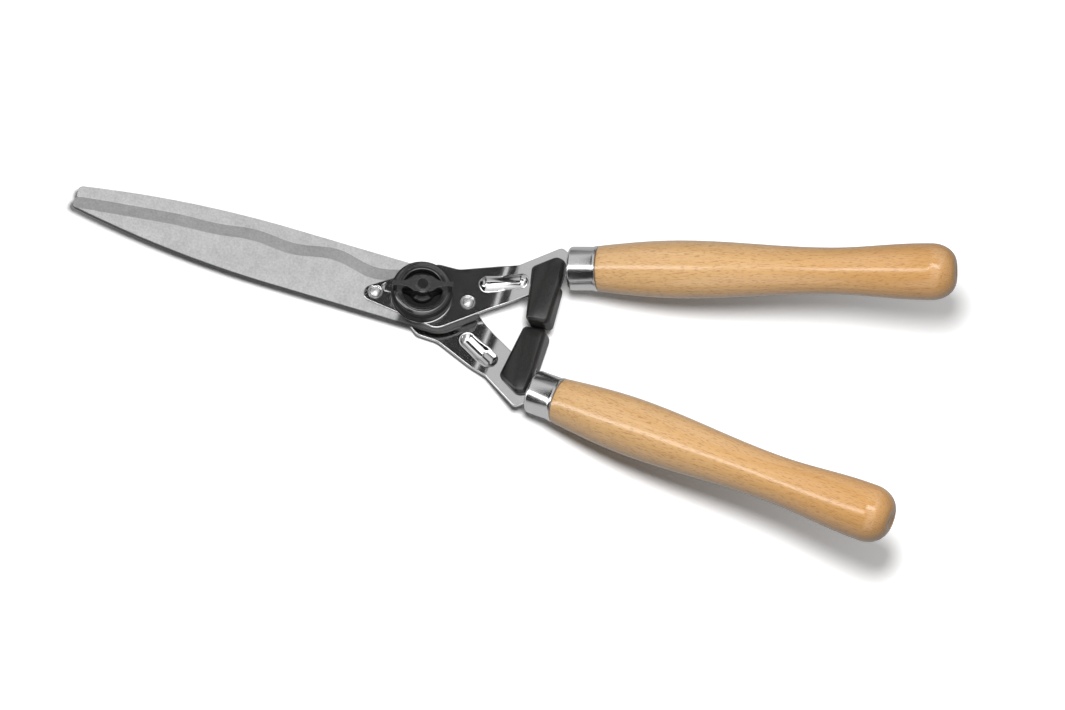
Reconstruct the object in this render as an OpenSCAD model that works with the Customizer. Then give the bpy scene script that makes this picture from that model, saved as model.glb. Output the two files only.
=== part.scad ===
// Two-handed hedge shears, closed, lying flat.
// Origin: on the pivot axis, at the underside of the bolt head. +X runs along the centre line
// towards the handles, +Y towards the upper handle, +Z up through the tension knob. Millimetres.

/* [Blades] */
// Pivot axis to blade tips
blade_reach = 242; // [200:1:290]
// Thickness of a blade
blade_t = 4; // [3:0.1:5]
// Centre line to a blade's spine, beside the pivot
spine_offset = 22; // [21:0.5:25]
// Centre line to a blade's spine, at the tip
spine_offset_tip = 8.2; // [6:0.2:12]
// Straight stretch of the spine in front of the pivot
spine_straight = 98; // [60:1:140]
// Centre line to the cutting edge, beside the pivot
edge_offset = 14; // [11:0.5:16]
// Centre line to the cutting edge, at the tip
edge_offset_tip = 0; // [-1:0.1:2]
// Outward lean of the cutting edge at the pivot, degrees
edge_lean = 0.8; // [0:0.1:2]
// Distance between two crests of the wavy cutting edge
wave_pitch = 57.5; // [40:0.5:80]
// Height of the waves beside the pivot
wave_height = 3.4; // [0:0.1:4]
// Distance from the pivot at which the waves have died away
wave_end = 188; // [120:1:200]
// Pivot axis to the first wave crest
wave_crest = 65; // [50:1:80]
// Width of the ground bevel along the cutting edge
bevel_w = 9.5; // [5:0.5:12]
// Steel left at the cutting edge under the bevel
edge_land = 0.5; // [0.3:0.1:1]
// Corner radius of the tips
tip_r = 3.4; // [1:0.1:3.6]
// Pivot axis to the square end of the blade's tail
tail_reach = 40.7; // [38:0.5:46]

/* [Tangs] */
// Thickness of a tang plate
tang_t = 3; // [2:0.1:4]
// Upward crank of the handles, degrees
crank = 17; // [10:0.2:22]
// Pivot axis to the bend line of the crank
crank_x = 50.5; // [48:0.5:54]
// Inner radius of the crank's bend
crank_r = 64; // [20:1:64]
// Width of the ridge and of the groove pressed across the bend
press_w = 10.4; // [8:0.2:12]
// Height of the ridge pressed in the upper tang
ridge_rise = 2.6; // [1:0.1:3.4]
// Depth of the pressed groove in the lower tang
groove_depth = 2; // [1:0.1:3]
// Width of the spike inside the handle
spike_w = 10; // [6:0.5:12]
// Thickness of the spike inside the handle
spike_t = 2.8; // [1.6:0.1:3.6]
// Length of the spike beyond the ferrule's closed end
spike_l = 70; // [40:1:100]

/* [Rivets] */
// Diameter of a rivet's shank
rivet_d = 5; // [4:0.5:6]
// Diameter of a rivet's domed head
rivet_head_d = 6.4; // [6:0.1:8]
// Pivot axis to the nose rivet, along X
nose_rivet_x = -30; // [-31:0.5:-28]
// Pivot axis to the tail rivet, along X
tail_rivet_x = 31.2; // [28:0.2:34]

/* [Pivot] */
// Diameter of the pivot bolt
bolt_d = 8; // [6:1:10]
// Diameter of the bolt's round head
bolt_head_d = 20; // [16:1:24]
// Height of the bolt's round head
bolt_head_h = 4; // [3.6:0.1:6]
// Diameter of the tab washer
washer_d = 41.4; // [38:0.2:44]
// Thickness of the tab washer
washer_t = 1; // [0.6:0.1:1.6]
// Outer diameter of the disc spring
spring_d = 16; // [14:0.5:18]
// Height of the disc spring
spring_h = 1.6; // [1.4:0.1:2.2]
// Width of the nut across its flats
nut_af = 13; // [12.6:0.1:17]
// Height of the nut
nut_h = 5; // [4:0.5:6]

/* [Knob] */
// Diameter of the tension knob
knob_d = 40.8; // [36:0.2:44]
// Height of the knob's round rim
knob_rim_h = 10; // [9:0.1:12]
// Height of the knob over its wing and boss
knob_h = 19; // [15:0.1:24]
// Width of the knob's round rim
knob_wall = 5; // [4:0.1:6]
// Width of the flat lip outside the round rim
knob_lip_w = 1.5; // [1:0.1:2.5]
// Height of the flat lip
knob_lip_h = 7.2; // [6:0.1:8]
// Thickness of the floor in the knob's pockets
knob_floor = 3.4; // [3:0.1:4.5]
// Diameter of the knob's boss
boss_d = 12.8; // [11:0.1:16]
// Narrowest thickness of the knob's wing
wing_t = 2.6; // [1.5:0.1:5]
// Turn of the wing from the centre line, degrees
wing_turn = 15.9; // [0:0.1:90]

/* [Buffers] */
// Rubber above the tang arm
buffer_top = 4; // [2.5:0.1:6]
// Rubber below the tang arm
buffer_bottom = 9; // [8.4:0.1:9.4]
// Pivot axis to the buffer's near side, at the centre line, along the cranked arm
buffer_near = 23; // [21:0.1:24]
// Edge rounding of the rubber
buffer_edge_r = 2.6; // [0.5:0.1:3]
// Width of the arm inside the buffer
arm_w = 9; // [6:0.5:11]

/* [Ferrules] */
// Diameter at the ferrule's closed end
ferrule_d = 29.4; // [26:0.2:32]
// Diameter at the ferrule's mouth and of the wood beside it
ferrule_mouth_d = 30.6; // [27:0.2:34]
// Length of a ferrule
ferrule_l = 19.7; // [14:0.1:28]
// Sheet thickness of a ferrule
ferrule_t = 0.8; // [0.5:0.1:1.2]

/* [Handles] */
// Length of the wood that shows behind a ferrule
grip_l = 238; // [200:1:300]
// Diameter of the swelling behind the ferrule
swell_d = 38.2; // [34:0.2:42]
// Diameter of the waist
waist_d = 30.4; // [26:0.2:34]
// Diameter of the end knob
butt_d = 37.2; // [34:0.2:42]
// Wood behind the ferrule to the swelling, as a share of its length
swell_at = 0.24; // [0.18:0.01:0.3]
// The same to the waist
waist_at = 0.65; // [0.55:0.01:0.72]
// The same to the end knob
butt_at = 0.92; // [0.88:0.01:0.93]
// Outward splay of a handle in its plate's plane, degrees
splay = 9.7; // [4:0.1:14]

/* [Clearances] */
// Running gap between faces that slide on each other
run_gap = 0.05; // [0.02:0.01:0.1]
// Gap around fixed pieces in their holes
fit_gap = 0.05; // [0.02:0.01:0.1]
// Gap between the buffers when closed
stop_gap = 0.2; // [0.1:0.1:0.6]

/* [Hidden] */
$fn = 96;

// Heights of the stack on the pivot bolt, from the head's underside up
z_lower_tang = bolt_head_h;
z_shear = z_lower_tang + tang_t + blade_t;
z_front_blade = z_shear + run_gap;
z_upper_tang = z_front_blade + blade_t;
z_washer = z_upper_tang + tang_t;
z_spring = z_washer + washer_t;
z_knob = z_spring + 2 * run_gap;
bolt_end_below = 2.5;

bolt_r = bolt_d / 2;
pivot_bore_r = bolt_r + run_gap;
nose_rivet = [nose_rivet_x, -7.6];
tail_rivet = [tail_rivet_x, 3.8];
rivet_head_h = 1;
rivet_dish_r = rivet_head_d / 2 + 1.1;
rivet_dish_depth = 0.4;
rivet_sink = 1.2;

// Shape of the blade's long sides, as distances from the centre line at s in front of the pivot
edge_straight = 24;
spine_drop = spine_offset - spine_offset_tip;
edge_drop = edge_offset + tan(edge_lean) * blade_reach - edge_offset_tip;
blade_steps = 66;
function square_law(s, start) = pow(max(0, s - start) / (blade_reach - start), 2);
function spine_at(s) = spine_offset - spine_drop * square_law(s, spine_straight);
function wave_at(s) = wave_height * max(0, 1 - s / wave_end) * cos(360 * (s - wave_crest) / wave_pitch);
function edge_at(s) =
    edge_offset + tan(edge_lean) * s - edge_drop * square_law(s, edge_straight) + wave_at(s);

// A closed outline from corners [x, y, radius], where radius 0 keeps the corner sharp
function unit(v) = v / norm(v);
function turn_between(a, b) = b - a > 180 ? b - a - 360 : b - a < -180 ? b - a + 360 : b - a;
function corner_arc(before, at, after, r) =
    let (
        u = unit(before - at),
        v = unit(after - at),
        half = acos(u * v) / 2,
        centre = at + unit(u + v) * r / sin(half),
        from = at + u * r / tan(half) - centre,
        to = at + v * r / tan(half) - centre,
        start = atan2(from.y, from.x),
        turn = turn_between(start, atan2(to.y, to.x)),
        steps = max(2, ceil(abs(turn) / 9))
    )
    [for (i = [0:steps]) centre + r * [cos(start + turn * i / steps), sin(start + turn * i / steps)]];
function flat(p) = [p.x, p.y];
function rounded(corners) =
    let (n = len(corners))
    [for (i = [0:n - 1])
        each corners[i][2] > 0
            ? corner_arc(flat(corners[(i + n - 1) % n]), flat(corners[i]),
                         flat(corners[(i + 1) % n]), corners[i][2])
            : [flat(corners[i])]];

// Blade outline, edge towards +Y: spine, tip, cutting edge, tail
tip_run = 1.6 * tip_r;
blade_outline = rounded(concat(
    [for (i = [0:blade_steps])
        let (s = (blade_reach - tip_run) * i / blade_steps) [-s, -spine_at(s), 0]],
    [[-blade_reach, -spine_offset_tip, tip_r],
     [-blade_reach, -edge_offset_tip - 0.3, tip_r]],
    [for (i = [blade_steps:-1:0])
        let (s = (blade_reach - tip_run) * i / blade_steps) [-s, edge_at(s), 0]],
    [[8, edge_at(0), 6],
     [tail_reach, 11, 6],
     [tail_reach, -4.7, 1.5],
     [tail_reach / 2 - 0.6, -spine_offset, 20]]
));

// Tang outline in plan, handle towards +Y: nose, outer side, rear, arm for the buffer, inner side
tang_back = 88;
tang_corner = 57.3;
tang_inner = 26.5;
tang_shoulder_x = 44;
tang_shoulder_y = 35.4;
tang_elbow_x = 56.5;
tang_elbow_y = 39.4;
tang_notch_x = 68.5;
tang_waist_x = 46;
tang_waist_r = 60;
tang_rise = 40;
arm_near = 74.2;
tang_outline = rounded([
    [-37.4, -14.5, 6], [-37.4, -5.8, 5],
    [4.6, 24.5, 6], [19, 25, 12], [tang_shoulder_x, tang_shoulder_y, 30], [tang_elbow_x, tang_elbow_y, 8],
    [tang_back - 7, tang_corner, 3.5], [tang_back - 1.5, tang_corner - 3.3, 2],
    [tang_back, tang_corner - 9.3, 1], [tang_back, tang_inner, 1.5],
    [arm_near + arm_w, tang_inner, 1.5], [arm_near + arm_w, 5.5, 2], [arm_near, 5.5, 2],
    [arm_near, tang_inner - 3.9, 2],
    [tang_notch_x, 18.8, 8], [tang_waist_x, 3.4, tang_waist_r], [16.5, -20.9, 12]
]);

// The crank: the sheet's middle plane bends up about the line x = crank_x
bend_mid_r = crank_r + tang_t / 2;
bend_run = bend_mid_r * tan(crank / 2);

// Ridge of the upper tang and groove of the lower one: radius of the bar that each follows,
// and the middle points of its two round ends
function press_r(depth) = (press_w * press_w / 4 + depth * depth) / (2 * depth);
ridge_r = press_r(ridge_rise);
ridge_from = [39.9, 20];
ridge_to = [61, 27.8];
groove_r = press_r(groove_depth);
groove_from = [38.1, 18.3];
groove_to = [56.6, 27.7];

// Where a handle's axis starts: at the ferrule's closed end, in the cranked plate's middle plane
handle_start = [41.3, 43.6];
ferrule_inner_r = ferrule_d / 2 - ferrule_t;
spigot_r = ferrule_inner_r - fit_gap;
mouth_inner_r = ferrule_mouth_d / 2 - ferrule_t;
ferrule_corner_r = 2.4;
spigot_gap = 0.3;
spike_bore_r = sqrt(spike_w * spike_w + spike_t * spike_t) / 2 + fit_gap;

// Handle radius along the wood: cosine blends between its stations, then an oval end
end_disc_r = 6;
end_round_l = 16;
blend_steps = 12;
stations = [[0, ferrule_mouth_d / 2], [swell_at * grip_l, swell_d / 2],
            [waist_at * grip_l, waist_d / 2], [butt_at * grip_l, butt_d / 2]];
function blend(a, b, f) = a + (b - a) * (1 - cos(180 * f)) / 2;
handle_side = [for (k = [0:len(stations) - 2], i = [0:blend_steps - 1])
    let (f = i / blend_steps)
    [blend(stations[k][1], stations[k + 1][1], f), stations[k][0] + (stations[k + 1][0] - stations[k][0]) * f]];
handle_end = [for (a = [0:7.5:90])
    [end_disc_r + (butt_d / 2 - end_disc_r) * cos(a), grip_l - end_round_l + end_round_l * sin(a)]];

// Rubber block outline in the cranked plane, measured from the bend line
buffer_far = 39.6;
buffer_top_outline = [[buffer_near, stop_gap / 2, 3.4], [16.4, 38.6, 4], [31.4, 49, 6],
                      [buffer_far - 1.6, 47, 3.4], [buffer_far - 0.2, 28, 20],
                      [buffer_far, stop_gap / 2, 3.4]];
buffer_low_outline = [[buffer_near, stop_gap / 2, 3.4], [18.8, 27, 3.4], [buffer_far - 1, 32, 3.4],
                      [buffer_far, stop_gap / 2, 3.4]];

// Points of the bent sheet's section at height z over its middle plane, from the nose to the handle
bend_steps = 8;
function bend_line(z) = concat(
    [[-tang_back, z]],
    [for (i = [0:bend_steps])
        let (a = crank * i / bend_steps)
        [crank_x - bend_run + (bend_mid_r - z) * sin(a), bend_mid_r - (bend_mid_r - z) * cos(a)]],
    [[crank_x + tang_back * cos(crank) - z * sin(crank), tang_back * sin(crank) + z * cos(crank)]]
);
module bent_sheet(z, t) {
    upper = bend_line(z + t);
    rotate([90, 0, 0])
        linear_extrude(2 * tang_back, center = true)
            polygon(concat(bend_line(z), [for (i = [len(upper) - 1:-1:0]) upper[i]]));
}

module on_slope() {
    translate([crank_x, 0, 0]) rotate([0, -crank, 0]) children();
}

module on_handle() {
    on_slope()
        translate([handle_start.x, handle_start.y, 0])
            rotate([0, 0, splay])
                rotate([0, 90, 0])
                    children();
}

module tang_prism(z, h) {
    translate([0, 0, z]) linear_extrude(h) polygon(tang_outline);
}

// Plate cut and bent, its middle plane at height 0 beside the pivot, with the spike
module tang_blank() {
    intersection() {
        bent_sheet(-tang_t / 2, tang_t);
        tang_prism(-tang_t, tang_rise);
    }
    on_handle()
        translate([-spike_t / 2, -spike_w / 2, -10])
            cube([spike_t, spike_w, spike_l + 10]);
}

// A bar with ball ends, turned as one piece
module capsule(from, to, r) {
    run = to - from;
    translate(from)
        rotate([0, acos(run.z / norm(run)), atan2(run.y, run.x)])
            rotate_extrude()
                polygon(concat(
                    [for (a = [-90:10:0]) [r * cos(a), r * sin(a)]],
                    [for (a = [0:10:90]) [r * cos(a), norm(run) + r * sin(a)]]
                ));
}

// A bar along the bent plate, kinked at the bend, its axis at this height over the middle plane
module press_bar(from, to, height, r) {
    share = (crank_x - from.x) / (to.x - from.x);
    bend_y = from.y + (to.y - from.y) * share;
    end_z = (to.x - crank_x) * tan(crank);
    middle = [crank_x - height * tan(crank / 2), bend_y, height];
    tilt = [-height * sin(crank), 0, height * cos(crank)];
    near = [from.x, from.y, height];
    far = [to.x, to.y, end_z] + tilt;
    lap = height < 0 ? 3 : 0;
    capsule(near, middle + lap * unit(middle - near), r);
    capsule(middle + lap * unit(middle - far), far, r);
}

module ridge_bar(r) {
    press_bar(ridge_from, ridge_to, tang_t / 2 + ridge_rise - ridge_r, r);
}

module groove_bar(r) {
    press_bar(groove_from, groove_to, tang_t / 2 + groove_r - groove_depth, r);
}

module rivet_places() {
    for (p = [nose_rivet, tail_rivet]) translate([p.x, p.y, 0]) children();
}

module dome(r, h) {
    ball = (r * r + h * h) / (2 * h);
    intersection() {
        translate([0, 0, h - ball]) sphere(ball);
        cylinder(r = r, h = h);
    }
}

// Edge towards +Y, bevel on top, flat side on the plane z = 0
module blade() {
    difference() {
        linear_extrude(blade_t) polygon(blade_outline);
        bevel_cut();
        translate([0, 0, -1]) cylinder(r = pivot_bore_r, h = blade_t + 2);
        rivet_places() {
            translate([0, 0, -1]) cylinder(r = rivet_d / 2 + fit_gap, h = blade_t + 2);
            translate([0, 0, -fit_gap])
                cylinder(r1 = rivet_d / 2 + rivet_sink + fit_gap, r2 = rivet_d / 2 + fit_gap, h = rivet_sink);
        }
    }
}

// Wedge ground off along the wavy edge: one triangular section at each step of the blade
bevel_steps = 60;
bevel_over = 3;
bevel_slope = (blade_t - edge_land) / bevel_w;
bevel_from = 10;
bevel_ring = [for (i = [0:bevel_steps])
    let (s = bevel_from + (blade_reach + 2 - bevel_from) * i / bevel_steps, y = edge_at(s))
    each [[-s, y - bevel_w - bevel_over, blade_t + bevel_over * bevel_slope],
          [-s, y + bevel_over, blade_t + bevel_over * bevel_slope],
          [-s, y + bevel_over, edge_land - bevel_over * bevel_slope]]];
module bevel_cut() {
    last = 3 * bevel_steps;
    polyhedron(
        points = bevel_ring,
        faces = concat(
            [[0, 1, 2], [last + 2, last + 1, last]],
            [for (i = [0:bevel_steps - 1], k = [0:2])
                let (a = 3 * i + k, b = 3 * i + (k + 1) % 3)
                each [[a, a + 3, b], [b, a + 3, b + 3]]]
        )
    );
}

module blade_rivets() {
    // Head on the tang's outer face at the top, flush tail in the blade's flat side at the bottom
    seat = blade_t + tang_t - rivet_dish_depth;
    rivet_places() {
        cylinder(r = rivet_d / 2, h = seat);
        cylinder(r1 = rivet_d / 2 + rivet_sink, r2 = rivet_d / 2, h = rivet_sink);
        translate([0, 0, seat]) dome(rivet_head_d / 2, rivet_head_h);
    }
}

module rivet_cuts(dish_z) {
    rivet_places() {
        translate([0, 0, -tang_t]) cylinder(r = rivet_d / 2 + fit_gap, h = 2 * tang_t);
        translate([0, 0, dish_z]) cylinder(r = rivet_dish_r, h = tang_t);
    }
}

washer_ear = [-24.2, -2];
ear_w = 6;
tab_w = 3.2;
ear_hole_r = 2.2;

module front_blade() {
    color("silver")
        translate([0, 0, z_front_blade]) blade();
}

module back_blade() {
    color("silver")
        translate([0, 0, z_shear]) rotate([180, 0, 0]) blade();
}

module upper_tang() {
    color("lightslategray")
        translate([0, 0, z_upper_tang + tang_t / 2])
            difference() {
                union() {
                    tang_blank();
                    intersection() {
                        ridge_bar(ridge_r);
                        bent_sheet(0, tang_t + ridge_rise);
                    }
                }
                ridge_bar(ridge_r - tang_t);
                translate([0, 0, -tang_t]) cylinder(r = pivot_bore_r, h = 2 * tang_t);
                rivet_cuts(tang_t / 2 - rivet_dish_depth);
                translate([washer_ear.x, washer_ear.y, -tang_t]) cylinder(r = ear_hole_r, h = 2 * tang_t);
            }
}

module lower_tang() {
    neck = bolt_d + 2 * fit_gap;
    color("lightslategray")
        translate([0, 0, z_lower_tang + tang_t / 2])
            mirror([0, 1, 0])
                difference() {
                    union() {
                        tang_blank();
                        intersection() {
                            groove_bar(groove_r + tang_t);
                            bent_sheet(-tang_t / 2 - groove_depth, tang_t / 2 + groove_depth);
                        }
                    }
                    groove_bar(groove_r);
                    cube([neck, neck, 2 * tang_t], center = true);
                    rivet_cuts(-1.5 * tang_t + rivet_dish_depth);
                }
}

module front_rivets() {
    color("gainsboro")
        translate([0, 0, z_front_blade]) blade_rivets();
}

module back_rivets() {
    color("gainsboro")
        translate([0, 0, z_shear]) rotate([180, 0, 0]) blade_rivets();
}

module pivot_bolt() {
    foot_r = 0.6 * bolt_head_d / 2;
    side = 0.8;
    rise = bolt_head_h - side;
    neck_h = tang_t - fit_gap;
    color("gray") {
        rotate_extrude()
            polygon(concat(
                [[0, 0]],
                [for (a = [0:10:90])
                    [foot_r + (bolt_head_d / 2 - foot_r) * sin(a), rise * (1 - cos(a))]],
                [[bolt_head_d / 2, bolt_head_h], [0, bolt_head_h]]
            ));
        translate([-bolt_d / 2, -bolt_d / 2, bolt_head_h - side])
            cube([bolt_d, bolt_d, neck_h + side]);
        translate([0, 0, bolt_head_h - side])
            cylinder(r = bolt_r, h = z_knob + knob_h - bolt_end_below - bolt_head_h + side);
    }
}

module tab_washer() {
    ear_turn = atan2(washer_ear.y, washer_ear.x);
    ear_reach = norm(washer_ear);
    color("gainsboro")
        translate([0, 0, z_washer])
            difference() {
                union() {
                    cylinder(d = washer_d, h = washer_t);
                    rotate([0, 0, ear_turn]) {
                        translate([washer_d / 2 - 4, -ear_w / 2, 0])
                            cube([ear_reach - washer_d / 2 + 4.5, ear_w, washer_t]);
                        translate([ear_reach - 0.5, -tab_w / 2, -tang_t + 0.5])
                            cube([1, tab_w, tang_t]);
                    }
                }
                translate([0, 0, -1]) cylinder(r = pivot_bore_r, h = washer_t + 2);
            }
}

module disc_spring() {
    spring_t = 0.9;
    color("dimgray")
        translate([0, 0, z_spring])
            rotate_extrude()
                polygon([[spring_d / 2, 0], [spring_d / 2, spring_t],
                         [pivot_bore_r, spring_h], [pivot_bore_r, spring_h - spring_t]]);
}

// The nut stands over the disc spring, in a hexagonal pocket of the knob
nut_z = z_spring + spring_h + 2 * run_gap;
module hexagon(af, h) {
    cylinder(d = af / cos(30), h = h, $fn = 6);
}

module knob_nut() {
    color("darkgray")
        translate([0, 0, nut_z])
            difference() {
                hexagon(nut_af, nut_h);
                translate([0, 0, -1]) cylinder(r = pivot_bore_r, h = nut_h + 2);
            }
}

module wing_plan() {
    hollow_r = 14;
    hollow_x = 0.78 * knob_d / 2;
    difference() {
        square([knob_d, 0.85 * boss_d], center = true);
        for (x = [-hollow_x, hollow_x], side = [-1, 1])
            translate([x, side * (wing_t / 2 + hollow_r)]) circle(hollow_r);
    }
}

// Dish with a round rim inside a flat lip, and a low hub over the nut
module knob_dish(hub_h) {
    crest_r = knob_wall / 2;
    rim_x = knob_d / 2 - knob_lip_w;
    crest_x = rim_x - crest_r;
    wall_x = rim_x - knob_wall;
    hollow_r = 2.6;
    hub_x = nut_af / 2 / cos(30) + 1.2;
    rotate_extrude()
        polygon(concat(
            [[0, 0], [knob_d / 2 - 0.8, 0], [knob_d / 2, 0.8]],
            [[knob_d / 2, knob_lip_h - 0.5], [knob_d / 2 - 0.5, knob_lip_h], [rim_x, knob_lip_h]],
            [for (a = [0:15:180])
                [crest_x + crest_r * cos(a), knob_rim_h - crest_r + crest_r * sin(a)]],
            [for (a = [0:15:90])
                [wall_x - hollow_r + hollow_r * cos(a), knob_floor + hollow_r - hollow_r * sin(a)]],
            [[hub_x, knob_floor], [hub_x, hub_h - 1], [hub_x - 1, hub_h], [0, hub_h]]
        ));
}

// Boss with a round top edge and a raised ring round a shallow recess, over the bolt's end
module knob_boss() {
    edge = 1;
    recess_r = 3.7;
    ring_w = 1.2;
    ring_h = 0.6;
    top = knob_h - ring_h;
    ring_r = recess_r + ring_w;
    rotate_extrude()
        polygon(concat(
            [[0, 0], [boss_d / 2, 0]],
            [for (a = [0:22.5:90])
                [boss_d / 2 - edge + edge * cos(a), top - edge + edge * sin(a)]],
            [[ring_r + ring_h / 2, top], [ring_r, knob_h], [recess_r, knob_h],
             [recess_r - ring_h / 2, knob_h - 2 * ring_h], [0, knob_h - 2 * ring_h]]
        ));
}

module tension_knob() {
    spring_room = nut_z - z_knob;
    bolt_room = knob_h - bolt_end_below + 0.4;
    nut_room = spring_room + nut_h + fit_gap;
    wing_step = 0.3;
    color("dimgray")
        translate([0, 0, z_knob])
            difference() {
                union() {
                    knob_dish(nut_room + 1);
                    rotate([0, 0, wing_turn])
                        linear_extrude(knob_h - wing_step)
                            intersection() {
                                circle(r = knob_d / 2 - wing_step);
                                wing_plan();
                            }
                    knob_boss();
                }
                translate([0, 0, -1]) cylinder(r = bolt_r + 2 * run_gap, h = bolt_room + 1);
                translate([0, 0, -1]) cylinder(r = spring_d / 2 + 0.4, h = spring_room + 1);
                hexagon(nut_af + 2 * fit_gap, nut_room);
            }
}

// A block with round edges: layers of its plan, pulled in towards the top and bottom
module rubber_block(corners, z, h) {
    hull()
        for (a = [0:30:90])
            let (inset = buffer_edge_r * (1 - cos(a)), rise = buffer_edge_r * (1 - sin(a)))
                translate([0, 0, z + rise])
                    linear_extrude(h - 2 * rise)
                        offset(delta = -inset)
                            polygon(rounded(corners));
}

module buffer() {
    low = tang_t / 2 + buffer_bottom;
    difference() {
        on_slope() {
            rubber_block(buffer_top_outline, -tang_t / 2, tang_t + buffer_top);
            rubber_block(buffer_low_outline, -low, low + tang_t);
        }
        tang_blank();
    }
}

module upper_buffer() {
    color("#262626")
        translate([0, 0, z_upper_tang + tang_t / 2]) buffer();
}

module lower_buffer() {
    color("#262626")
        translate([0, 0, z_lower_tang + tang_t / 2]) mirror([0, 1, 0]) buffer();
}

module ferrule() {
    mouth_r = ferrule_mouth_d / 2;
    closed_r = ferrule_d / 2;
    inner_corner_r = ferrule_corner_r - ferrule_t;
    rotate_extrude()
        polygon(concat(
            [[spike_bore_r, 0]],
            [for (a = [0:15:90])
                [closed_r - ferrule_corner_r * (1 - sin(a)), ferrule_corner_r * (1 - cos(a))]],
            [[mouth_r, ferrule_l], [mouth_inner_r, ferrule_l]],
            [for (a = [90:-15:0])
                [ferrule_inner_r - inner_corner_r * (1 - sin(a)), ferrule_t + inner_corner_r * (1 - cos(a))]],
            [[spike_bore_r, ferrule_t]]
        ));
}

module upper_ferrule() {
    color("gainsboro")
        translate([0, 0, z_upper_tang + tang_t / 2]) on_handle() ferrule();
}

module lower_ferrule() {
    color("gainsboro")
        translate([0, 0, z_lower_tang + tang_t / 2]) mirror([0, 1, 0]) on_handle() ferrule();
}

// Turned handle: spigot inside the ferrule, swelling, waist, end knob with a flat disc
module handle() {
    spigot_from = ferrule_t + spigot_gap;
    spigot_chamfer = ferrule_corner_r;
    difference() {
        rotate_extrude()
            polygon(concat(
                [[0, spigot_from], [spigot_r - spigot_chamfer, spigot_from],
                 [spigot_r, spigot_from + spigot_chamfer],
                 [mouth_inner_r - fit_gap, ferrule_l]],
                [for (p = handle_side) [p.x, p.y + ferrule_l]],
                [for (p = handle_end) [p.x, p.y + ferrule_l]],
                [[0, grip_l + ferrule_l]]
            ));
        translate([0, 0, -1]) cylinder(r = spike_bore_r, h = spike_l + 3);
    }
}

module upper_handle() {
    color("burlywood")
        translate([0, 0, z_upper_tang + tang_t / 2]) on_handle() handle();
}

module lower_handle() {
    color("burlywood")
        translate([0, 0, z_lower_tang + tang_t / 2]) mirror([0, 1, 0]) on_handle() handle();
}

front_blade();
back_blade();
upper_tang();
lower_tang();
front_rivets();
back_rivets();
pivot_bolt();
tension_knob();
knob_nut();
tab_washer();
disc_spring();
upper_buffer();
lower_buffer();
upper_ferrule();
lower_ferrule();
upper_handle();
lower_handle();
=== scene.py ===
import math
import bpy
from mathutils import Matrix, Vector


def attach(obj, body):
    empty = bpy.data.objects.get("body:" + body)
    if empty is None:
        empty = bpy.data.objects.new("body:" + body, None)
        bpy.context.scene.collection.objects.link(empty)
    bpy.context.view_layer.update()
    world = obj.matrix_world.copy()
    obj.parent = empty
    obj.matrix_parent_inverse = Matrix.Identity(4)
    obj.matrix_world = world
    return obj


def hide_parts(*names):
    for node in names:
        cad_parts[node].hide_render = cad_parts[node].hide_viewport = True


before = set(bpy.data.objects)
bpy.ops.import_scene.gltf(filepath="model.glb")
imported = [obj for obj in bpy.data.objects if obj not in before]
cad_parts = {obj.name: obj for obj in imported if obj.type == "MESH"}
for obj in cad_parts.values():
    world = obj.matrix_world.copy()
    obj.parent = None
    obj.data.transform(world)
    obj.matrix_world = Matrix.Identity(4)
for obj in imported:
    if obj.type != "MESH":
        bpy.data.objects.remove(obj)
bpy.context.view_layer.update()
scene = bpy.context.scene
scene.view_settings.view_transform = "Standard"


# Camera: it stands above the open space south of the shears and looks down on the closed blades,
# tips to the left and handles to the right, turned so that the blades fall slightly across the view.
camera_place = Vector((0.13896, -0.79540, 2.03984))
camera_right = Vector((0.95897, 0.27262, 0.07794))
camera_up = Vector((-0.28235, 0.89294, 0.35062))
bpy.ops.object.camera_add()
camera = bpy.context.object
camera.name = "studio_camera"
camera_turn = Matrix((camera_right, camera_up, camera_right.cross(camera_up))).transposed()
camera.matrix_world = Matrix.Translation(camera_place) @ camera_turn.to_4x4()
camera.data.lens = 110.2
camera.data.sensor_width = 36.0
camera.data.clip_start = 0.05
camera.data.clip_end = 20.0
scene.camera = camera


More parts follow.
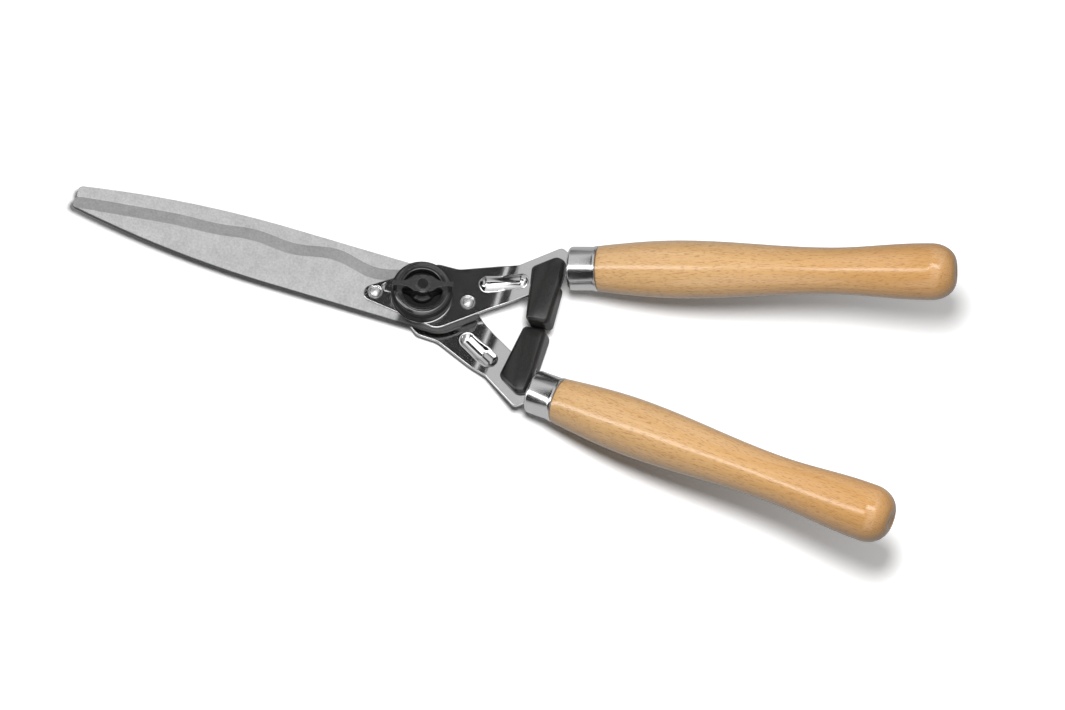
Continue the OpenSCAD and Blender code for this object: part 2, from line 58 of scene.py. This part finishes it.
# Table and studio: a white table that keeps the shears' soft shadow, one round soft lamp almost
# overhead, and a room that only metal and gloss mirror, with bright panels and dark gaps.
class Wire:
    """One socket of a node tree; sums and products of sockets add their Math nodes."""

    def __init__(self, tree, socket=None):
        self.tree = tree
        self.socket = socket

    def node(self, kind, settings, sockets, out=0):
        """Adds a node: its settings first, then the values or links of its sockets."""
        made = self.tree.nodes.new(kind)
        for key, value in settings.items():
            setattr(made, key, value)
        for key, value in sockets.items():
            if isinstance(value, Wire):
                self.tree.links.new(value.socket, made.inputs[key])
            else:
                made.inputs[key].default_value = value
        return Wire(self.tree, made.outputs[out] if made.outputs else None)

    def maths(self, operation, first, second):
        return self.node("ShaderNodeMath", {"operation": operation}, {0: first, 1: second})

    def __add__(self, other):
        return self.maths("ADD", self, other)

    def __radd__(self, other):
        return self.maths("ADD", other, self)

    def __sub__(self, other):
        return self.maths("SUBTRACT", self, other)

    def __rsub__(self, other):
        return self.maths("SUBTRACT", other, self)

    def __mul__(self, other):
        return self.maths("MULTIPLY", self, other)

    def __rmul__(self, other):
        return self.maths("MULTIPLY", other, self)

    def most(self, other):
        """The larger of the two at each point."""
        return self.maths("MAXIMUM", self, other)

    def step(self, low, high):
        """0 below low, 1 above high, with a smooth rise between."""
        reach = {"Value": self, "From Min": low, "From Max": high}
        return self.node("ShaderNodeMapRange", {"interpolation_type": "SMOOTHSTEP"}, reach)

    def between(self, low, risen, falling, high):
        """1 from risen to falling, 0 below low and above high."""
        return self.step(low, risen) * (1.0 - self.step(falling, high))

    def mix(self, first, second):
        """The first colour where this socket is 0 and the second where it is 1."""
        ends = {"Factor": self, 6: first, 7: second}
        return self.node("ShaderNodeMix", {"data_type": "RGBA"}, ends, 2)


def rgba(shade):
    """A grey shade or a colour as the four numbers of a colour socket."""
    return (*shade, 1.0) if isinstance(shade, tuple) else (shade, shade, shade, 1.0)


def blank(owner):
    """The empty node tree of a material or world."""
    owner.use_nodes = True
    owner.node_tree.nodes.clear()
    return Wire(owner.node_tree)


table_below_bolt = -0.0002
bpy.ops.mesh.primitive_plane_add(size=8.0, location=(0.0, 0.0, table_below_bolt))
table = bpy.context.object
table.name = "white_table"
table_coat = bpy.data.materials.new("white_table")
paint = blank(table_coat)
table_seen = paint.node("ShaderNodeLightPath", {}, {}, "Is Camera Ray")
bounced_white = 0.38
seen_white = 0.94
table_white = table_seen.mix(rgba(bounced_white), rgba(seen_white))
table_matt = paint.node("ShaderNodeBsdfDiffuse", {}, {"Color": table_white})
table_spot = paint.node("ShaderNodeTexCoord", {}, {}, "Object")
table_reach = paint.node("ShaderNodeVectorMath", {"operation": "LENGTH"}, {0: table_spot}, "Value")
# Only the camera sees this glow, which keeps the table white away from the shears.
table_edge = table_reach.step(0.15, 0.5) * 0.5
table_edge = table_edge + table_reach.step(0.5, 1.5) * 0.5 + 0.02
table_glow = paint.node("ShaderNodeEmission", {}, {"Strength": table_seen * table_edge})
table_look = paint.node("ShaderNodeAddShader", {}, {0: table_matt, 1: table_glow})
paint.node("ShaderNodeOutputMaterial", {}, {"Surface": table_look})
table.data.materials.append(table_coat)

bpy.ops.object.light_add(type="AREA", location=(0.10, -0.13, 0.97))
lamp = bpy.context.object
lamp.name = "soft_lamp"
lamp.data.shape = "DISK"
lamp.data.size = 0.30
lamp.data.energy = 12.5
lamp.visible_glossy = False

studio = bpy.data.worlds.new("studio")
studio.cycles.sampling_method = "NONE"
scene.world = studio
air = blank(studio)
heading = air.node("ShaderNodeTexCoord", {}, {}, "Generated")
east = air.node("ShaderNodeSeparateXYZ", {}, {"Vector": heading}, "X")
north = air.node("ShaderNodeSeparateXYZ", {}, {"Vector": heading}, "Y")

# What metal mirrors, by heading: a black card opposite the camera, which the level steel shows, dark
# gaps southwest, west and beside the panel, then a lit room that dims towards its walls, with a
# bright panel overhead and a bright strip low in the southwest.
black_card = east.between(-0.31, -0.23, 0.14, 0.22)
black_card = black_card * north.between(0.10, 0.18, 0.54, 0.62)
southwest_dark = (1.0 - north.step(-0.34, -0.26)) * (1.0 - east.step(-0.16, -0.08))
west_dark = 1.0 - east.step(-0.86, -0.70)
panel_gap = east.between(-0.49, -0.46, -0.34, -0.28)
dark = black_card.most(southwest_dark).most(panel_gap).most(west_dark)
north_dim = north.step(0.62, 0.76) * 0.56
west_dim = (1.0 - east.step(-0.46, -0.40)) * 0.52
east_dim = east.step(0.36, 0.52) * 0.75
south_dim = (1.0 - north.step(-0.75, -0.55)) * 0.35
panel = north.between(-0.14, -0.06, 0.12, 0.18) * east.between(-0.32, -0.24, 0.24, 0.34)
room_light = 1.3
panel_light = 3.5
lit = room_light + panel * panel_light
for dim in (north_dim, west_dim, east_dim, south_dim):
    lit = lit * (1.0 - dim)
glint = north.between(-0.50, -0.40, -0.32, -0.20) * (1.0 - east.step(-0.34, -0.28))
glint_light = 3.8
dark_depth = 0.975
mirrored = lit * (1.0 - dark * dark_depth) + glint * glint_light
seen = air.node("ShaderNodeLightPath", {}, {}, "Is Camera Ray")
glossy = air.node("ShaderNodeLightPath", {}, {}, "Is Glossy Ray")
fill = north.step(-0.1, 0.8) * 0.3 + 0.03
room = fill * (1.0 - glossy) + mirrored * glossy
strength = seen + room * (1.0 - seen)
glow = air.node("ShaderNodeBackground", {}, {"Color": rgba(1.0), "Strength": strength})
air.node("ShaderNodeOutputWorld", {}, {"Surface": glow})


# Blades: two flat blades of hardened tool steel, ground satin, each with a flat bevel along its wavy
# cutting edge. The back one is the front one turned over, so that their flat faces meet.
def pick(piece):
    """Selects this piece alone and makes it the active one."""
    bpy.ops.object.select_all(action="DESELECT")
    piece.select_set(True)
    bpy.context.view_layer.objects.active = piece


def applied(piece, kind, name, **settings):
    """Adds a modifier with these settings and applies it."""
    pick(piece)
    modifier = piece.modifiers.new(name, kind)
    for key, value in settings.items():
        setattr(modifier, key, value)
    bpy.ops.object.modifier_apply(modifier=modifier.name)


flat_angle = math.radians(0.6)
corner_angle = math.radians(30.0)
merge_gap = 2e-6
sliver = 5e-5


def eased_copy(node, name, ease=0.0, rounds=1, sharp_from=30.0, clamped=True):
    """A copy of a made part, its flat faces joined and its sharp edges eased by a small round.

    Short edges limit a clamped round. Where it isn't clamped, slivers are taken out of the copy first.
    """
    piece = bpy.data.objects.new(name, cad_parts[node].data.copy())
    scene.collection.objects.link(piece)
    pick(piece)
    bpy.ops.object.mode_set(mode="EDIT")
    bpy.ops.mesh.select_all(action="SELECT")
    bpy.ops.mesh.remove_doubles(threshold=merge_gap)
    if not clamped:
        bpy.ops.mesh.dissolve_degenerate(threshold=sliver)
    bpy.ops.mesh.dissolve_limited(angle_limit=flat_angle)
    bpy.ops.object.mode_set(mode="OBJECT")
    piece.data.materials.clear()
    if ease > 0.0:
        applied(
            piece, "BEVEL", "eased", width=ease, segments=rounds,
            angle_limit=corner_angle, use_clamp_overlap=clamped)
    bpy.ops.object.shade_smooth_by_angle(angle=math.radians(sharp_from))
    applied(piece, "WEIGHTED_NORMAL", "even", keep_sharp=True)
    return piece


def fit(piece, body, finish, node):
    """Gives a piece its finish and its body, and hides the made part that it stands for."""
    piece.data.materials.clear()
    piece.data.materials.append(finish)
    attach(piece, body)
    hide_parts(node)


def finish_of(name, **constants):
    """A new material and its paint; the constants set the shader's own sockets."""
    material = bpy.data.materials.new(name)
    paint = blank(material)
    shader = paint.tree.nodes.new("ShaderNodeBsdfPrincipled")
    for key, value in constants.items():
        shader.inputs[key.replace("_", " ")].default_value = value
    paint.node("ShaderNodeOutputMaterial", {}, {"Surface": Wire(paint.tree, shader.outputs[0])})
    return material, paint, shader


def feed(paint, shader, **links):
    """Links what varies over the surface to the shader's sockets."""
    for key, wire in links.items():
        paint.tree.links.new(wire.socket, shader.inputs[key.replace("_", " ")])


def placed(paint, place=(0.0, 0.0, 0.0), turn=(0.0, 0.0, 0.0), scale=(1.0, 1.0, 1.0)):
    """Object coordinates measured from a place and turned to it, then stretched."""
    where = paint.node("ShaderNodeTexCoord", {}, {}, "Object")
    seat = {"Vector": where, "Location": place, "Rotation": turn}
    local = paint.node("ShaderNodeMapping", {"vector_type": "TEXTURE"}, seat)
    return paint.node("ShaderNodeMapping", {"vector_type": "POINT"}, {"Vector": local, "Scale": scale})


def noise(paint, where, per_metre, detail=2.0, rough=0.5):
    """Random blotches from 0 to 1, about so many to a metre."""
    grain = {"Vector": where, "Scale": per_metre, "Detail": detail, "Roughness": rough}
    return paint.node("ShaderNodeTexNoise", {}, grain, "Fac")


def grey(paint, shade):
    """A colour with the same shade of red, green and blue."""
    return paint.node("ShaderNodeCombineColor", {}, {"Red": shade, "Green": shade, "Blue": shade})


ground_steel, paint, shader = finish_of("ground_blade_steel", Metallic=1.0)
along = placed(paint)
across = placed(paint, scale=(1.0, 0.12, 1.0))
clouds = noise(paint, along, 110.0, 5.0, 0.6)
scratch = noise(paint, across, 2600.0, 2.0)
grain = noise(paint, along, 650.0, 3.0, 0.7)
flank = paint.node("ShaderNodeTexCoord", {}, {}, "Normal")
upright = paint.node("ShaderNodeSeparateXYZ", {}, {"Vector": flank}, "Z")
# Painted shade: faces that stand upright, the sides of the edges, are darkened where this is 0.
unshaded_faces = (upright * upright).step(0.2, 0.5)
reach = paint.node("ShaderNodeSeparateXYZ", {}, {"Vector": along}, "X")
# The steel is much darker from just before the pivot back to the tail end.
root = reach.step(-0.013, -0.009)
# Painted light: the steel's colour is made a little brighter towards the tip.
painted_tip_light = 1.0 - reach.step(-0.24, -0.10)
# Clouded and scratched by the wheel, with painted light making it a little brighter to the tip,
# painted shade making the edges' sides darker, and much darker at the root.
shade = (0.28 + clouds * 0.24 + scratch * 0.1 + grain * 0.38) * (1.0 + painted_tip_light * 0.06)
shade = shade * (0.22 + unshaded_faces * 0.78) * (1.0 - root * 0.8)
steel_colour = grey(paint, shade)
steel_bump = paint.node("ShaderNodeBump", {}, {"Strength": 0.12, "Distance": 0.00005, "Height": scratch})
feed(paint, shader, Base_Color=steel_colour, Roughness=0.40 + clouds * 0.10, Normal=steel_bump)

blade_ease = 0.00024
bevel_line_angle = 8.0
for node, body in (("front_blade", "upper_half"), ("back_blade", "lower_half")):
    blade = eased_copy(node, node + "_ground", blade_ease, sharp_from=bevel_line_angle, clamped=False)
    fit(blade, body, ground_steel, node)


# Tangs: pressed from 3 mm sheet with soft round edges, bent up towards the handles and chromed.
# The upper one has a ridge pressed across its bend, the lower one a groove.
chrome, paint, shader = finish_of("tang_chrome", Metallic=1.0)
rolled = placed(paint)
waves = noise(paint, rolled, 45.0, 2.0)
specks = noise(paint, rolled, 900.0, 3.0)
shade = 0.74 + specks * 0.06
chrome_colour = grey(paint, shade)
chrome_bump = paint.node("ShaderNodeBump", {}, {"Strength": 0.1, "Distance": 0.0003, "Height": waves})
feed(paint, shader, Base_Color=chrome_colour, Roughness=0.06 + specks * 0.12, Normal=chrome_bump)

tang_ease = 0.0007
for node, body in (("upper_tang", "upper_half"), ("lower_tang", "lower_half")):
    tang = eased_copy(node, node + "_pressed", tang_ease, rounds=3, clamped=False)
    fit(tang, body, chrome, node)


# Rivets: four bright steel rivets with low domed heads that hold each blade to its tang.
rivet_steel, paint, shader = finish_of("rivet_steel", Metallic=1.0, Roughness=0.38)
specks = noise(paint, placed(paint), 1500.0, 2.0)
shade = 0.78 + specks * 0.08
rivet_colour = grey(paint, shade)
feed(paint, shader, Base_Color=rivet_colour)
for node, body in (("front_rivets", "upper_half"), ("back_rivets", "lower_half")):
    fit(eased_copy(node, node + "_set"), body, rivet_steel, node)


# Pivot: a domed steel bolt from below with its nut, which the knob is moulded round, a disc spring,
# and a chromed tab washer whose ear hooks into a hole in the upper tang.
bolt_steel, paint, shader = finish_of("bolt_steel", Metallic=1.0, Roughness=0.3)
specks = noise(paint, placed(paint), 1200.0, 2.0)
shade = 0.55 + specks * 0.1
bolt_colour = grey(paint, shade)
feed(paint, shader, Base_Color=bolt_colour)
pivot_bolt = eased_copy("pivot_bolt", "pivot_bolt_turned", ease=0.0003, rounds=2)
fit(pivot_bolt, "lower_half", bolt_steel, "pivot_bolt")
disc_spring = eased_copy("disc_spring", "disc_spring_pressed")
fit(disc_spring, "upper_half", bolt_steel, "disc_spring")
knob_nut = eased_copy("knob_nut", "knob_nut_moulded_in", ease=0.0002)
fit(knob_nut, "knob", bolt_steel, "knob_nut")
tab_washer = eased_copy("tab_washer", "tab_washer_pressed")
fit(tab_washer, "upper_half", chrome, "tab_washer")


# Knob: a tension knob moulded in black plastic round its nut, with a wing to turn it by. Its rim is
# turned here as well, because its crown falls gently outwards.
turned_sides = 96
turned_sharp_from = math.radians(35.0)


def turned(name, place, outline):
    """A closed turned piece: a ring carried along the axis and resized at each step of its outline."""
    bpy.ops.object.select_all(action="DESELECT")
    first_radius, first_z = outline[0]
    bpy.ops.mesh.primitive_circle_add(
        vertices=turned_sides, radius=first_radius, fill_type="NGON", location=(0.0, 0.0, first_z))
    piece = bpy.context.object
    piece.name = name
    bpy.ops.object.mode_set(mode="EDIT")
    bpy.ops.mesh.select_all(action="SELECT")
    radius, z = first_radius, first_z
    for next_radius, next_z in outline[1:]:
        bpy.ops.mesh.extrude_region_move(TRANSFORM_OT_translate={"value": (0.0, 0.0, next_z - z)})
        ratio = next_radius / radius
        bpy.ops.transform.resize(value=(ratio, ratio, 1.0), center_override=(0.0, 0.0, next_z))
        radius, z = next_radius, next_z
    bpy.ops.mesh.select_all(action="SELECT")
    bpy.ops.mesh.normals_make_consistent(inside=False)
    bpy.ops.object.mode_set(mode="OBJECT")
    piece.matrix_world = place @ piece.matrix_world
    bpy.ops.object.transform_apply(location=True, rotation=True, scale=True)
    bpy.ops.object.shade_smooth_by_angle(angle=turned_sharp_from)
    return piece


knob_plastic, paint, shader = finish_of(
    "knob_plastic", Metallic=0.0, IOR=1.2, Coat_IOR=2.0, Coat_Roughness=0.14)
moulded = placed(paint)
texture = noise(paint, moulded, 1400.0, 3.0)
height = paint.node("ShaderNodeSeparateXYZ", {}, {"Vector": moulded}, "Z")
level = placed(paint, scale=(1.0, 1.0, 0.0))
from_axis = paint.node("ShaderNodeVectorMath", {"operation": "LENGTH"}, {0: level}, "Value")
# Painted light makes the wing's top paler, while the boss's recess is left dark as painted shade.
# All above the lip is polished.
painted_wing_top_light = height.step(0.0355, 0.0372) * from_axis.step(0.0034, 0.0038)
knob_colour = (painted_wing_top_light * 0.7 + texture * 0.3).mix(rgba(0.005), rgba(0.040))
knob_bump = paint.node("ShaderNodeBump", {}, {"Strength": 0.1, "Distance": 0.00002, "Height": texture})
polished = height.step(0.0262, 0.0270)
knob_roughness = 0.45 + texture * 0.1
feed(
    paint, shader,
    Base_Color=knob_colour, Roughness=knob_roughness, Coat_Weight=polished, Normal=knob_bump)
knob = eased_copy("tension_knob", "tension_knob_moulded", ease=0.0004, rounds=3)
fit(knob, "knob", knob_plastic, "tension_knob")

knob_foot = 0.01915
crown_radius = 0.014
crest_at = 0.0142
rim_top = 0.01005
rim_outline = [(0.012, 0.003), (0.0188, 0.003), (0.0189, 0.0031), (0.0189, 0.0085), (0.0187, 0.0090)]
crown_fall = 16.0
crown_steps = 8
for k in range(crown_steps + 1):
    fall = math.radians(crown_fall * (1.0 - k / crown_steps))
    crown_z = rim_top - crown_radius * (1.0 - math.cos(fall))
    rim_outline.append((crest_at + crown_radius * math.sin(fall), crown_z))
rim_outline += [(0.0138, 0.00996), (0.0135, 0.0097), (0.01335, 0.0093), (0.0133, 0.0088)]
rim_outline.append((0.0131, 0.0036))
rim = turned("knob_rim_turned", Matrix.Translation((0.0, 0.0, knob_foot)), rim_outline)
fit(rim, "knob", knob_plastic, "tension_knob")


# Buffers: two black rubber stop blocks pushed over the tangs' arms; they meet when the blades close.
# Their upper sides are crowned like a cushion, which the bump of the rubber adds.
crank = math.radians(17.0)
crank_x = 0.0505
sides = (("upper", 1, 0.01655, "upper_half"), ("lower", -1, 0.0055, "lower_half"))


def bent_arm(height):
    """The tang's middle plane beyond its bend, for the tang at this height."""
    return Matrix.Translation((crank_x, 0.0, height)) @ Matrix.Rotation(-crank, 4, "Y")


cushion_half_width = 0.0095
cushion_half_length = 0.024
cushion_crown = 0.0026


def cushion(name, side, height):
    """Black rubber crowned across and along the block; side is 1 for the upper, -1 for the lower."""
    material, paint, shader = finish_of(name, Metallic=0.0, IOR=1.6)
    texture = noise(paint, placed(paint), 900.0, 4.0)
    rubber_colour = texture.mix(rgba((0.009, 0.0087, 0.0084)), rgba((0.014, 0.0135, 0.013)))
    block = Matrix.Translation((0.0295, side * 0.023, 0.0)) @ Matrix.Rotation(side * -0.1, 4, "Z")
    middle = bent_arm(height) @ block
    local = placed(paint, middle.to_translation(), middle.to_euler())
    across = paint.node("ShaderNodeSeparateXYZ", {}, {"Vector": local}, "X")
    across = across * (1.0 / cushion_half_width) + 0.45
    length = paint.node("ShaderNodeSeparateXYZ", {}, {"Vector": local}, "Y") * (1.0 / cushion_half_length)
    ends = length * length * length * length
    crown = 1.0 - across * across * 0.6 - ends * 0.4
    swell = {"Strength": 1.0, "Distance": cushion_crown, "Height": crown}
    cushioned = paint.node("ShaderNodeBump", {}, swell)
    grain = {"Strength": 0.25, "Distance": 0.0001, "Height": texture, "Normal": cushioned}
    rubber_bump = paint.node("ShaderNodeBump", {}, grain)
    feed(paint, shader, Base_Color=rubber_colour, Roughness=0.24 + texture * 0.10, Normal=rubber_bump)
    return material


block_edge_angle = 70.0
for name, side, height, body in sides:
    buffer = eased_copy(name + "_buffer", name + "_buffer_moulded", sharp_from=block_edge_angle)
    fit(buffer, body, cushion(name + "_rubber", side, height), name + "_buffer")


# Handles: turned from beech and varnished, swelling behind the ferrule, waisted in the middle and
# full again before the rounded end, where the lathe left a small flat disc.
splay = math.radians(9.7)
grip_length = 0.238
ferrule_length = 0.0197


def handle_place(side, height):
    """The handle's axis as local Z from the ferrule's closed end; side is 1 for the upper handle."""
    start = Matrix.Translation((0.0413, side * 0.0436, 0.0)) @ Matrix.Rotation(side * splay, 4, "Z")
    return bent_arm(height) @ start @ Matrix.Rotation(math.radians(90.0), 4, "Y")


def eased_between(a, b, part):
    """From a to b with a level start and end, as part goes from 0 to 1."""
    return a + (b - a) * (1.0 - math.cos(math.pi * part)) / 2.0


mouth_radius = 0.0153
swell_radius = 0.0193
waist_radius = 0.0153
butt_radius = 0.01857
swell_at = 0.24
waist_at = 0.65
butt_at = 0.92
end_length = 0.016
disc_radius = 0.006
grip_outline = [(0.0133, 0.0), (0.0151, 0.00012), (mouth_radius, 0.0005)]
curve_steps = 12
for k in range(1, curve_steps + 1):
    part = math.sin(math.pi / 2 * k / curve_steps)
    radius = swell_radius - (swell_radius - mouth_radius) * (1.0 - part)
    grip_outline.append((radius, grip_length * swell_at * k / curve_steps))
stations = ((swell_at, swell_radius), (waist_at, waist_radius), (butt_at, butt_radius))
for (near, near_radius), (far, far_radius) in zip(stations, stations[1:]):
    for k in range(1, curve_steps + 1):
        radius = eased_between(near_radius, far_radius, k / curve_steps)
        grip_outline.append((radius, grip_length * (near + (far - near) * k / curve_steps)))
end_steps = 14
for k in range(end_steps + 1):
    a = math.pi / 2 * k / end_steps
    z = grip_length - end_length * (1.0 - math.sin(a))
    grip_outline.append((disc_radius + (butt_radius - disc_radius) * math.cos(a), z))
grip_outline += [(disc_radius - 0.0003, grip_length - 0.0003), (0.0035, grip_length - 0.0004)]
grip_outline += [(0.0032, grip_length - 0.0006), (0.0006, grip_length - 0.0006)]


pale_beech = (0.53, 0.32, 0.135)
light_beech = (0.70, 0.465, 0.235)
honey_beech = (0.50, 0.25, 0.07)
late_wood = (0.42, 0.21, 0.07)
pore_brown = (0.24, 0.10, 0.03)
joint_brown = (0.10, 0.05, 0.02)


def beech(name, place, shift):
    """Varnished beech, its grain along this handle's axis, with the dark dashes of its pores."""
    material, paint, shader = finish_of(name, Coat_Weight=1.0, Coat_Roughness=0.17, Coat_IOR=1.7)
    seat = place.to_translation()
    turn = place.to_euler()
    stretched = placed(paint, seat, turn, (1.0, 1.0, 0.07))
    shifted = {0: stretched, 1: (shift, shift * 0.7, 0.0)}
    drift = paint.node("ShaderNodeVectorMath", {"operation": "ADD"}, shifted)
    bands = noise(paint, drift, 95.0, 4.0, 0.55)
    fine = noise(paint, drift, 700.0, 2.0)
    dashes = placed(paint, seat, turn, (1.0, 1.0, 0.14))
    fleck = noise(paint, dashes, 1700.0, 1.0)
    pores = fleck.step(0.55, 0.66)
    reach = paint.node("ShaderNodeSeparateXYZ", {}, {"Vector": placed(paint, seat, turn)}, "Z")
    banded = bands.mix(rgba(pale_beech), rgba(light_beech))
    warmed = (reach.step(0.06, 0.25) * 0.7).mix(banded, rgba(honey_beech))
    grained = (fine * 0.5).mix(warmed, rgba(late_wood))
    flecked = (pores * 0.45).mix(grained, rgba(pore_brown))
    joint = 1.0 - reach.step(0.0003, 0.0012)
    finished = (joint * 0.8).mix(flecked, rgba(joint_brown))
    bump = paint.node("ShaderNodeBump", {}, {"Strength": 0.12, "Distance": 0.0002, "Height": 1.0 - pores})
    feed(paint, shader, Base_Color=finished, Roughness=0.45 + fine * 0.12, Normal=bump)
    return material


grain_shift = 0.31
for name, side, height, body in sides:
    wood_place = handle_place(side, height) @ Matrix.Translation((0.0, 0.0, ferrule_length))
    grip = turned(name + "_handle_turned", wood_place, grip_outline)
    finish = beech(name + "_beech", wood_place, grain_shift * side)
    fit(grip, body, finish, name + "_handle")


# Ferrules: chromed steel caps drawn from sheet, closed at the tang's end and rolled at the mouth,
# pressed over the spigot of each handle.
ferrule_chrome, paint, shader = finish_of("ferrule_chrome", Metallic=1.0)
specks = noise(paint, placed(paint), 700.0, 3.0)
shade = 0.80 + specks * 0.05
cap_colour = grey(paint, shade)
feed(paint, shader, Base_Color=cap_colour, Roughness=0.17 + specks * 0.06)
cap_corner = 0.0024
cap_radius = 0.0147
rolled_radius = 0.0153
cap_outline = [(0.003, 0.0)]
corner_steps = 8
for k in range(corner_steps + 1):
    a = math.pi / 2 * k / corner_steps
    corner_z = cap_corner * (1.0 - math.cos(a))
    cap_outline.append((cap_radius - cap_corner + cap_corner * math.sin(a), corner_z))
cap_outline += [(cap_radius, 0.0165), (rolled_radius - 0.0001, 0.0178), (rolled_radius, 0.0184)]
cap_outline += [(rolled_radius, 0.0193), (rolled_radius - 0.0004, ferrule_length)]
cap_outline.append((0.0135, ferrule_length))
for name, side, height, body in sides:
    cap = turned(name + "_ferrule_drawn", handle_place(side, height), cap_outline)
    fit(cap, body, ferrule_chrome, name + "_ferrule")
